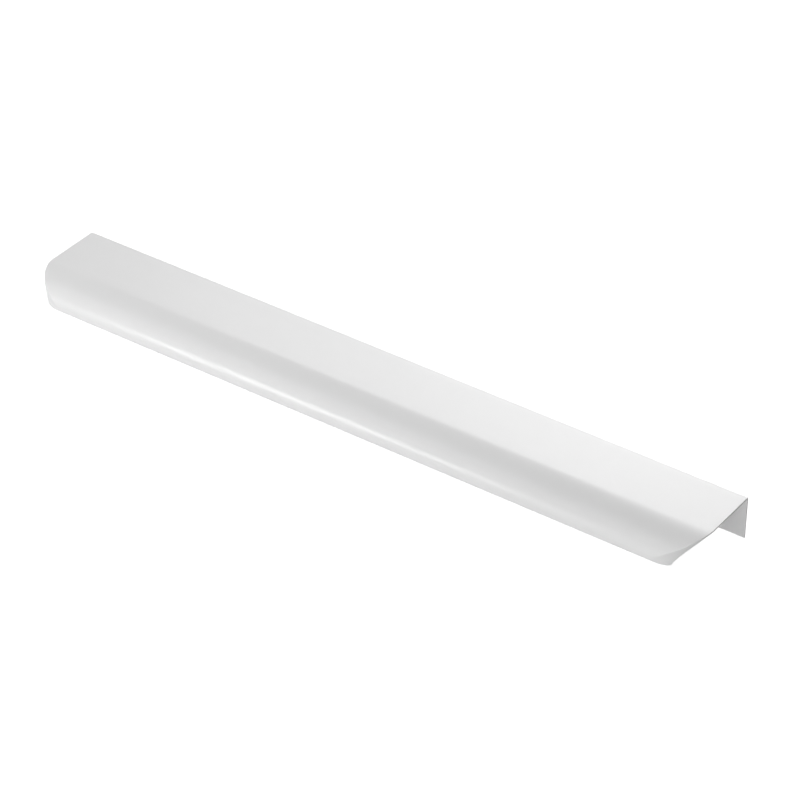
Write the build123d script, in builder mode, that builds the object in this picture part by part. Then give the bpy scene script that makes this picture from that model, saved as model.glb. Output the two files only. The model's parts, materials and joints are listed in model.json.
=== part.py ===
"""Edge pull: a grip profile that hooks over the edge of a drawer front or cabinet door.

One piece of extruded and powder-coated aluminium. A flat top plate lies on the panel's edge, a flange
hangs behind the panel and takes its screws, and the front bends down into a lip that fingers pull on.

Millimetres, +X along the length, -Y to the front, +Z up. The pull stands as it comes to rest on a level
floor, top plate up, on the lower edges of its flange and its lip, so the plate leans to the front. The
origin is on that floor, under the middle of the pull.
"""

from build123d import *

import os
from math import acos, asin, atan2, cos, degrees, hypot, sin

# Overall sizes
LENGTH = 320.0
PLATE_DEPTH = 26.5  # flat part of the top plate, from its back edge to the start of the bend
BEND_RADIUS = 20.5  # the bend leaves the plate on this radius
NOSE_RADIUS = 8.0  # and turns down on this one
LIP_HEIGHT = 11.5  # from the top of the plate to the lower edge of the lip
FLANGE_HEIGHT = 19.0  # from the top of the plate to the lower edge of the flange
CORNER_RADIUS = 17.5  # the two front corners, seen from above

# Walls
PLATE_WALL = 0.8
FLANGE_WALL = 0.8
LIP_WALL = 2.2  # at the lip's lower edge

# Small radii of the section
LIP_EDGE_RADIUS = 1.0
FLANGE_EDGE_RADIUS = 0.3
BACK_CORNER_RADIUS = 0.4
ROOT_RADIUS = 0.8  # inside corner between plate and flange

# Screw holes in the flange, evenly spaced between the two end ones
HOLE_DIAMETER = 4.5
HOLE_COUNT = 3
HOLE_INSET = 16.0  # from the pull's ends to the centres of the end holes
HOLE_DROP = 10.5  # from the top of the plate to the hole centres

# The bend turns far enough for the nose to end upright at the top of the lip's edge radius
nose_drop = LIP_HEIGHT - LIP_EDGE_RADIUS
bend_turn = acos((BEND_RADIUS - nose_drop) / (BEND_RADIUS - NOSE_RADIUS))
depth = PLATE_DEPTH + BEND_RADIUS * sin(bend_turn) + NOSE_RADIUS * (1 - sin(bend_turn))
hole_spacing = (LENGTH - 2 * HOLE_INSET) / (HOLE_COUNT - 1)

# The lean at rest: the rounded lower edges of the flange and the lip both touch the floor.
# Section coordinates run to the back and up, from the plate's back top edge.
flange_edge = (FLANGE_EDGE_RADIUS - FLANGE_WALL, FLANGE_EDGE_RADIUS - FLANGE_HEIGHT)
lip_edge = (LIP_EDGE_RADIUS - depth, -nose_drop)
edge_run = flange_edge[0] - lip_edge[0]
edge_rise = lip_edge[1] - flange_edge[1]
radius_step = LIP_EDGE_RADIUS - FLANGE_EDGE_RADIUS
lean = atan2(edge_rise, edge_run) - asin(radius_step / hypot(edge_run, edge_rise))

# How far the leaning section reaches to the back, to the front and down from the back top edge
back_reach = FLANGE_EDGE_RADIUS - flange_edge[1] * sin(lean) - FLANGE_EDGE_RADIUS * cos(lean)
front_reach = NOSE_RADIUS + (depth - NOSE_RADIUS) * cos(lean) - nose_drop * sin(lean)
floor_drop = FLANGE_EDGE_RADIUS - flange_edge[0] * sin(lean) - flange_edge[1] * cos(lean)

section_plane = Plane(
    origin=(0, (front_reach - back_reach) / 2, floor_drop),
    x_dir=(0, cos(lean), sin(lean)),
    z_dir=(1, 0, 0),
)
plate_plane = Plane(section_plane.origin, x_dir=section_plane.z_dir, z_dir=section_plane.y_dir)
hole_plane = Plane(
    section_plane.from_local_coords((0, -HOLE_DROP, 0)),
    x_dir=section_plane.z_dir,
    z_dir=section_plane.x_dir,
)

with BuildPart() as edge_pull:
    with BuildSketch(section_plane.offset(-LENGTH / 2)) as section:
        with BuildLine():
            plate_top = Line((0, 0), (-PLATE_DEPTH, 0))
            bend = JernArc(plate_top @ 1, plate_top % 1, BEND_RADIUS, degrees(bend_turn))
            nose = JernArc(bend @ 1, bend % 1, NOSE_RADIUS, 90 - degrees(bend_turn))
            lip_round = JernArc(nose @ 1, nose % 1, LIP_EDGE_RADIUS, 90)
            lip_end = Line(lip_round @ 1, (LIP_WALL - depth, -LIP_HEIGHT))
            # One arc from the plate's underside to the lip's edge makes the wall swell through the bend
            TangentArc((-PLATE_DEPTH, -PLATE_WALL), lip_end @ 1, tangent=(-1, 0))
            Polyline(
                (-PLATE_DEPTH, -PLATE_WALL),
                (-FLANGE_WALL, -PLATE_WALL),
                (-FLANGE_WALL, -FLANGE_HEIGHT),
                (0, -FLANGE_HEIGHT),
                (0, 0),
            )
        make_face()
        fillet(section.vertices().sort_by_distance(lip_end @ 1)[0], LIP_EDGE_RADIUS)
        fillet(section.vertices().sort_by_distance((-FLANGE_WALL, -PLATE_WALL))[0], ROOT_RADIUS)
        fillet(section.vertices().sort_by_distance((0, 0))[0], BACK_CORNER_RADIUS)
        fillet(section.vertices().group_by(Axis.Y)[0], FLANGE_EDGE_RADIUS)
    extrude(amount=LENGTH)

    # The front corners are milled square to the plate
    with BuildSketch(plate_plane) as outline:
        Rectangle(LENGTH, depth, align=(Align.CENTER, Align.MAX))
        fillet(outline.vertices().group_by(Axis.Y)[0], CORNER_RADIUS)
    extrude(amount=-FLANGE_HEIGHT, mode=Mode.INTERSECT)

    with Locations(hole_plane):
        with GridLocations(hole_spacing, 0, HOLE_COUNT, 1):
            Hole(HOLE_DIAMETER / 2, depth=FLANGE_WALL)

edge_pull.part.label = "edge_pull"
os.makedirs("parts", exist_ok=True)
export_step(edge_pull.part, "parts/edge_pull.step")
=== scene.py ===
"""Looks of the edge pull: satin white powder coat on an extruded aluminium grip profile.

The pull is modelled in millimetres in its plate's own axes: X along it, Y to the back and Z out of the
plate's top, from the middle of the plate's back top edge. The last step leans it as it stands.
"""

import json
import math

import bmesh
import bpy
from mathutils import Matrix, Vector


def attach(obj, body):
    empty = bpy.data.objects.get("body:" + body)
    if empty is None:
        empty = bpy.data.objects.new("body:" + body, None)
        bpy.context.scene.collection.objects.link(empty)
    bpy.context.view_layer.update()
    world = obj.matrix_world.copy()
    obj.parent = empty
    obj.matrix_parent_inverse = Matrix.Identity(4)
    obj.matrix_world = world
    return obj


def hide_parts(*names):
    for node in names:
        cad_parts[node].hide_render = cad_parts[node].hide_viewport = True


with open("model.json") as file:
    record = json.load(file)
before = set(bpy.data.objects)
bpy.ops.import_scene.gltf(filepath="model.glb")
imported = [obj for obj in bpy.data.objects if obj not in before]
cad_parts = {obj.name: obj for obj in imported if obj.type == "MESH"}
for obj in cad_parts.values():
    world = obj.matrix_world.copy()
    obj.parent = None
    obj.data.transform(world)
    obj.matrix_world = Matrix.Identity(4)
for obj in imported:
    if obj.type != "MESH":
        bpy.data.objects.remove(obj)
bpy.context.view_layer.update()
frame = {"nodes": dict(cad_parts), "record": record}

MM = 0.001
QUARTER_TURN = math.pi / 2

# Section of the profile, in mm
PLATE_DEPTH = 26.5  # flat part of the top plate
PLATE_WALL = 0.8
BEND_RADIUS = 20.5  # the bend leaves the plate on this radius
NOSE_RADIUS = 8.0  # and turns down on this one
LIP_HEIGHT = 11.5
LIP_WALL = 2.2
LIP_EDGE_RADIUS = 1.0
BACK_CORNER_RADIUS = 0.4
ROOT_RADIUS = 0.8
FLANGE_EDGE_RADIUS = 0.3
CORNER_RADIUS = 17.5  # the two milled front corners, seen from above

# Fineness of the mesh
CORNER_STEP = math.radians(1.5)
FILLET_STEPS = 4
ROUND_STEPS = 48  # of a full circle
NEAR_MM = 0.001
TURNED = 0.01  # a face whose normal has more than this along X is a cut one, and not drawn skin

# The coat rounds every sawn, milled and punched edge
COAT_EDGE_MM = 0.2
COAT_EDGE_STEPS = 3
COAT_EDGE_ANGLE = math.radians(8)  # a corner that blends in flatter than this has no edge to round

# Powder coat
COAT_WHITE = "#F1F1F1"
COAT_SHADE = "#EDEDED"  # where the coat is a little thinner
COAT_ROUGHNESS = (0.27, 0.33)
PEEL_WIDTH_MM = 2.0
PEEL_HEIGHT_MM = 0.012
PEEL_DETAIL = 1.0
CLOUD_WIDTH_MM = 25.0  # how wide the thinner and thicker patches of the coat are
CLOUD_DETAIL = 3.0

# Studio, in metres
PAPER_WHITE = "#CCCCCC"
PAPER_RADIUS = 1.0
SHADOW_RADIUS = 0.4  # the paper glows less this far round the pull
SHADOW_DEPTH = 0.16  # and this share less in the middle

# Soft boxes turned to the pull: azimuth from the front, to the right, and elevation, in degrees in the
# plate's axes, then distance, width and height in metres and power in watts
SOFT_BOXES = {
    "back": (-165, 27, 1.0, 0.6, 0.2, 3.0),
    "back_right": (180, 34, 1.0, 0.8, 0.16, 1.2),
    "back_left": (-150, 34, 1.0, 0.5, 0.16, 1.2),
    "back_high": (-165, 50, 1.0, 0.4, 0.4, 1.4),
    "front_left_low": (-30, 10, 0.5, 0.2, 0.2, 1.04),
    "front_left_high": (-52, 48, 1.0, 0.6, 0.6, 2.1),
    "front_right": (30, 15, 1.0, 0.5, 0.5, 5.4),
}

# The camera, in the plate's own axes
CAMERA_PLACE_MM = (619.2, -868.7, 734.5)
CAMERA_AZIMUTH = math.radians(35.504)
CAMERA_ELEVATION = math.radians(35.311)
LENS_MM = 146.3
SENSOR_MM = 36.0


def mounts(kind):
    """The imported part's mounts of one kind."""
    return [m for m in frame["record"]["mounts"] if m["kind"] == kind]


# The plate's own axes in the frame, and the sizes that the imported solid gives
blank = frame["nodes"]["edge_pull"].data
seat = next(m for m in mounts("flat_face") if m["name"] == "plate_seat")
LEAN = Matrix.Rotation(Vector(seat["axis"]).angle(Vector((0, 0, -1))), 4, "X")
level = [LEAN.inverted() @ v.co for v in blank.vertices]
PLATE_AXES = LEAN @ Matrix.Translation((0, max(p.y for p in level), max(p.z for p in level)))
LENGTH = 2 * max(p.x for p in level) / MM
DEPTH = (max(p.y for p in level) - min(p.y for p in level)) / MM
FLANGE_HEIGHT = (max(p.z for p in level) - min(p.z for p in level)) / MM
HOLES = mounts("bore")
FLANGE_WALL = HOLES[0]["dims"]["length_mm"]

# Centres and ends of the section's rounds, in mm from the plate's back top edge
NOSE_DROP = LIP_HEIGHT - LIP_EDGE_RADIUS
BEND_TURN = math.acos((BEND_RADIUS - NOSE_DROP) / (BEND_RADIUS - NOSE_RADIUS))
BEND_END = -PLATE_DEPTH - BEND_RADIUS * math.sin(BEND_TURN)
INNER_RUN = DEPTH - LIP_WALL - PLATE_DEPTH
INNER_FALL = LIP_HEIGHT - PLATE_WALL
INNER_RADIUS = (INNER_RUN**2 + INNER_FALL**2) / (2 * INNER_FALL)
LIP_BACK_REACH = INNER_RADIUS + LIP_EDGE_RADIUS
LIP_BACK_RISE = INNER_RADIUS - INNER_FALL + LIP_EDGE_RADIUS
LIP_BACK = -PLATE_DEPTH - math.sqrt(LIP_BACK_REACH**2 - LIP_BACK_RISE**2)
INNER_END = -PLATE_DEPTH + (LIP_BACK + PLATE_DEPTH) * INNER_RADIUS / LIP_BACK_REACH


def round_height(y, centre_y, centre_z, radius, side):
    """Height at y on the upper (side 1) or lower (side -1) half of a round."""
    return centre_z + side * math.sqrt(max(radius**2 - (y - centre_y) ** 2, 0))


def top_height(y):
    """Height of the section's outside at y: plate, bend, then nose."""
    if y > -PLATE_DEPTH:
        return 0
    if y > BEND_END:
        return round_height(y, -PLATE_DEPTH, -BEND_RADIUS, BEND_RADIUS, 1)
    return round_height(y, NOSE_RADIUS - DEPTH, -NOSE_DROP, NOSE_RADIUS, 1)


def under_height(y):
    """Height of the section's inside at y: plate, inner arc, then the lip's rounded lower edge."""
    if y > -PLATE_DEPTH:
        return -PLATE_WALL
    if y > INNER_END:
        return round_height(y, -PLATE_DEPTH, -PLATE_WALL - INNER_RADIUS, INNER_RADIUS, 1)
    if y > LIP_BACK:
        return round_height(y, LIP_BACK, -NOSE_DROP, LIP_EDGE_RADIUS, -1)
    if y > LIP_EDGE_RADIUS - DEPTH:
        return -LIP_HEIGHT
    return round_height(y, LIP_EDGE_RADIUS - DEPTH, -NOSE_DROP, LIP_EDGE_RADIUS, -1)


def corner_inset(y):
    """How far a milled front corner cuts back the end of the pull at y."""
    ahead = max(CORNER_RADIUS - DEPTH - y, 0)
    return CORNER_RADIUS - math.sqrt(max(CORNER_RADIUS**2 - ahead**2, 0))


def stations():
    """Where the bar is cut across: at even turns of the milled corners, and where the flange starts."""
    steps = math.ceil(QUARTER_TURN / CORNER_STEP)
    turns = [QUARTER_TURN * step / steps for step in range(1, steps + 1)]
    return [CORNER_RADIUS * (1 - math.cos(turn)) - DEPTH for turn in turns] + [-FLANGE_WALL]


def edges_along(shape, y, z):
    """The edges that run the length of the pull at one place of its section."""
    spot = Vector((y, z))
    return [e for e in shape.edges if all((v.co.yz - spot).length < NEAR_MM for v in e.verts)]


def round_edges(shape, edges, radius, steps):
    """Rounds edges to a radius in mm, in a few flat steps."""
    bmesh.ops.bevel(
        shape,
        geom=edges,
        offset=radius,
        offset_type="OFFSET",
        affect="EDGES",
        segments=steps,
        profile=0.5,
        material=-1,
        clamp_overlap=False,
    )


def plate_and_lip(shape):
    """A flat bar, cut across at each station, its corners then set to the pull's plan and section."""
    size = Matrix.Diagonal((LENGTH, DEPTH, PLATE_WALL, 1))
    centre = Matrix.Translation((0, -DEPTH / 2, -PLATE_WALL / 2))
    bmesh.ops.create_cube(shape, size=1, matrix=centre @ size)
    for y in stations():
        whole = shape.verts[:] + shape.edges[:] + shape.faces[:]
        bmesh.ops.bisect_plane(shape, geom=whole, plane_co=(0, y, 0), plane_no=(0, 1, 0), dist=NEAR_MM)
    for vert in shape.verts:
        x, y, z = vert.co
        on_top = z > -PLATE_WALL / 2
        vert.co.z = top_height(y) if on_top else under_height(y)
        vert.co.x = math.copysign(LENGTH / 2 - corner_inset(y), x)
    bmesh.ops.remove_doubles(shape, verts=shape.verts, dist=NEAR_MM)
    bmesh.ops.recalc_face_normals(shape, faces=shape.faces)


def flange(shape):
    """The flange, drawn down from the back strip of the plate's underside, and its drawn rounds."""
    strip = [f for f in shape.faces if all(v.co.y > -FLANGE_WALL - NEAR_MM for v in f.verts)]
    under = min(strip, key=lambda f: f.calc_center_median().z)
    drawn = bmesh.ops.extrude_face_region(shape, geom=[under])
    bmesh.ops.delete(shape, geom=[under], context="FACES_ONLY")
    lower = [v for v in drawn["geom"] if isinstance(v, bmesh.types.BMVert)]
    bmesh.ops.translate(shape, verts=lower, vec=(0, 0, PLATE_WALL - FLANGE_HEIGHT))
    round_edges(shape, edges_along(shape, 0, 0), BACK_CORNER_RADIUS, FILLET_STEPS)
    round_edges(shape, edges_along(shape, -FLANGE_WALL, -PLATE_WALL), ROOT_RADIUS, FILLET_STEPS)
    foot = edges_along(shape, 0, -FLANGE_HEIGHT) + edges_along(shape, -FLANGE_WALL, -FLANGE_HEIGHT)
    round_edges(shape, foot, FLANGE_EDGE_RADIUS, FILLET_STEPS)


def hole_circle(shape, hole, y):
    """The rim of a screw hole in the flange face at y."""
    x, _, z = PLATE_AXES.inverted() @ Vector(hole["pos_m"]) / MM
    place = Matrix.Translation((x, y, z)) @ Matrix.Rotation(QUARTER_TURN, 4, "X")
    radius = hole["dims"]["r_mm"]
    circle = bmesh.ops.create_circle(shape, segments=ROUND_STEPS, radius=radius, matrix=place)
    return list({e for v in circle["verts"] for e in v.link_edges})


def screw_holes(shape):
    """Round holes through the flange: each of its two faces is filled anew round them."""
    flange_area = LENGTH * FLANGE_HEIGHT
    sides = [f for f in shape.faces if abs(f.normal.y) * f.calc_area() > flange_area / 2]
    rims = []
    for side in sides:
        y = side.calc_center_median().y
        border = list(side.edges)
        normal = side.normal.copy()
        bmesh.ops.delete(shape, geom=[side], context="FACES_ONLY")
        circles = [hole_circle(shape, hole, y) for hole in HOLES]
        edges = border + sum(circles, [])
        bmesh.ops.triangle_fill(shape, edges=edges, use_beauty=True, normal=normal)
        rims.append(circles)
    for front, back in zip(*rims):
        bmesh.ops.bridge_loops(shape, edges=front + back)
    bmesh.ops.recalc_face_normals(shape, faces=shape.faces)


def coat_edges(shape):
    """Rounds the edges where a sawn, milled or punched face meets the drawn skin."""
    cut = {f for f in shape.faces if abs(f.normal.x) > TURNED}
    skin_to_cut = [e for e in shape.edges if sum(f in cut for f in e.link_faces) == 1]
    rim = [e for e in skin_to_cut if e.calc_face_angle() > COAT_EDGE_ANGLE]
    round_edges(shape, rim, COAT_EDGE_MM, COAT_EDGE_STEPS)


def coated_pull():
    """The whole pull in its coat, leaned and set on the floor as it stands."""
    shape = bmesh.new()
    plate_and_lip(shape)
    flange(shape)
    screw_holes(shape)
    coat_edges(shape)
    bmesh.ops.transform(shape, matrix=PLATE_AXES @ Matrix.Scale(MM, 4), verts=shape.verts)
    for face in shape.faces:
        face.smooth = True
    mesh = bpy.data.meshes.new("coated_pull")
    shape.to_mesh(mesh)
    shape.free()
    pull = bpy.data.objects.new("coated_pull", mesh)
    bpy.context.collection.objects.link(pull)
    pull.modifiers.new("flats_stay_flat", "WEIGHTED_NORMAL")
    mesh.materials.append(satin_powder_coat())
    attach(pull, "root")
    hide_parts("edge_pull")


def linear(hex_colour):
    """An sRGB hex colour as the linear values that shaders take."""
    shares = [int(hex_colour[i : i + 2], 16) / 255 for i in (1, 3, 5)]
    return [s / 12.92 if s <= 0.04045 else ((s + 0.055) / 1.055) ** 2.4 for s in shares] + [1.0]


def feed(tree, node, inputs):
    """Sets a node's inputs, each by a value or by the output that feeds it."""
    for socket, value in inputs.items():
        if isinstance(value, bpy.types.NodeSocket):
            tree.links.new(value, node.inputs[socket])
        else:
            node.inputs[socket].default_value = value


def add_node(tree, kind, settings, inputs):
    """A new node with its settings, fed with its inputs."""
    node = tree.nodes.new(kind)
    for name, value in settings.items():
        setattr(node, name, value)
    feed(tree, node, inputs)
    return node


def satin_powder_coat():
    """White polyester powder, sprayed dry on the aluminium and cured in an oven.

    The powder melts to an even satin skin with a faint orange peel, which keeps its highlights soft and
    their borders a little wavy. The peel is drawn at the coarse end of what such a coat has, because a
    finer one would not show. Slow patches of thicker and thinner coat shift tone and gloss slightly.
    """
    mat = bpy.data.materials.new("satin_powder_coat")
    mat.use_nodes = True
    tree = mat.node_tree
    place = add_node(tree, "ShaderNodeTexCoord", {}, {}).outputs["Object"]
    peel_size = {"Vector": place, "Scale": 1 / (PEEL_WIDTH_MM * MM), "Detail": PEEL_DETAIL}
    peel = add_node(tree, "ShaderNodeTexNoise", {}, peel_size)
    cloud_size = {"Vector": place, "Scale": 1 / (CLOUD_WIDTH_MM * MM), "Detail": CLOUD_DETAIL}
    cloud = add_node(tree, "ShaderNodeTexNoise", {}, cloud_size)
    smooth, rough = COAT_ROUGHNESS
    gloss = {"Value": cloud.outputs[0], "To Min": smooth, "To Max": rough}
    gloss_range = add_node(tree, "ShaderNodeMapRange", {}, gloss)
    tint = add_node(tree, "ShaderNodeValToRGB", {}, {"Fac": cloud.outputs[0]})
    tint.color_ramp.elements[0].color = linear(COAT_SHADE)
    tint.color_ramp.elements[1].color = linear(COAT_WHITE)
    relief = {"Height": peel.outputs[0], "Distance": PEEL_HEIGHT_MM * MM}
    bump = add_node(tree, "ShaderNodeBump", {}, relief)
    skin = {
        "Base Color": tint.outputs["Color"],
        "Roughness": gloss_range.outputs[0],
        "Normal": bump.outputs["Normal"],
    }
    feed(tree, tree.nodes["Principled BSDF"], skin)
    return mat


def seen_share(tree):
    """1 for the rays that show a background: straight, in a gloss or through glass."""
    path = add_node(tree, "ShaderNodeLightPath", {}, {}).outputs
    maximum = {"operation": "MAXIMUM"}
    bare = add_node(tree, "ShaderNodeMath", maximum, {0: path["Is Camera Ray"], 1: path["Is Glossy Ray"]})
    glass = {0: bare.outputs[0], 1: path["Is Transmission Ray"]}
    return add_node(tree, "ShaderNodeMath", maximum, glass).outputs[0]


def white_paper():
    """Matt studio paper with a glow of its own, so that it shows plain white.

    Near the pull it glows a little less. The soft boxes make up for that, except where the pull shades
    it from most of them, so a very faint shadow stays there.
    """
    mat = bpy.data.materials.new("white_paper")
    mat.use_nodes = True
    tree = mat.node_tree
    place = add_node(tree, "ShaderNodeTexCoord", {}, {}).outputs["Object"]
    reach = add_node(tree, "ShaderNodeMapping", {}, {"Vector": place, "Scale": [1 / SHADOW_RADIUS] * 3})
    spherical = {"gradient_type": "SPHERICAL"}
    near = add_node(tree, "ShaderNodeTexGradient", spherical, {"Vector": reach.outputs[0]})
    dimmed = {0: near.outputs["Fac"], 1: -SHADOW_DEPTH, 2: 1.0}
    glow = add_node(tree, "ShaderNodeMath", {"operation": "MULTIPLY_ADD"}, dimmed)
    seen_glow = {0: glow.outputs[0], 1: seen_share(tree)}
    strength = add_node(tree, "ShaderNodeMath", {"operation": "MULTIPLY"}, seen_glow)
    paper = {
        "Base Color": linear(PAPER_WHITE),
        "Roughness": 1.0,
        "Specular IOR Level": 0.0,
        "Emission Color": linear("#FFFFFF"),
        "Emission Strength": strength.outputs[0],
    }
    feed(tree, tree.nodes["Principled BSDF"], paper)
    return mat


def ground():
    """The sheet of paper that the pull stands on."""
    disc = bmesh.new()
    bmesh.ops.create_circle(disc, cap_ends=True, radius=PAPER_RADIUS, segments=ROUND_STEPS)
    mesh = bpy.data.meshes.new("ground")
    disc.to_mesh(mesh)
    disc.free()
    mesh.materials.append(white_paper())
    paper = bpy.data.objects.new("ground", mesh)
    bpy.context.collection.objects.link(paper)


def white_surroundings():
    """White where they are seen, and no light of their own: the soft boxes alone light the pull."""
    world = bpy.data.worlds.new("white_surroundings")
    world.use_nodes = True
    tree = world.node_tree
    feed(tree, tree.nodes["Background"], {"Color": linear("#FFFFFF"), "Strength": seen_share(tree)})
    bpy.context.scene.world = world


def soft_box(name, azimuth, elevation, distance, width, height, power):
    """A rectangle of soft light that faces the pull and is out of the picture itself."""
    light = bpy.data.lights.new(name, "AREA")
    light.shape = "RECTANGLE"
    light.size = width
    light.size_y = height
    light.energy = power
    stand = bpy.data.objects.new(name, light)
    stand.visible_camera = False
    bpy.context.collection.objects.link(stand)
    round_turn = Matrix.Rotation(math.radians(azimuth), 4, "Z")
    rise = Matrix.Rotation(QUARTER_TURN - math.radians(elevation), 4, "X")
    stand.matrix_world = PLATE_AXES @ round_turn @ rise @ Matrix.Translation((0, 0, distance))


def camera():
    """A long lens in front, to the right and above, upright to the plate instead of the floor."""
    view = bpy.data.cameras.new("camera")
    view.lens = LENS_MM
    view.sensor_width = SENSOR_MM
    stand = bpy.data.objects.new("camera", view)
    bpy.context.collection.objects.link(stand)
    round_turn = Matrix.Rotation(CAMERA_AZIMUTH, 4, "Z")
    rise = Matrix.Rotation(QUARTER_TURN - CAMERA_ELEVATION, 4, "X")
    place = Matrix.Translation(Vector(CAMERA_PLACE_MM) * MM)
    stand.matrix_world = PLATE_AXES @ place @ round_turn @ rise
    bpy.context.scene.camera = stand


coated_pull()
ground()
white_surroundings()
for name, setting in SOFT_BOXES.items():
    soft_box(name, *setting)
camera()
bpy.context.scene.view_settings.view_transform = "Standard"
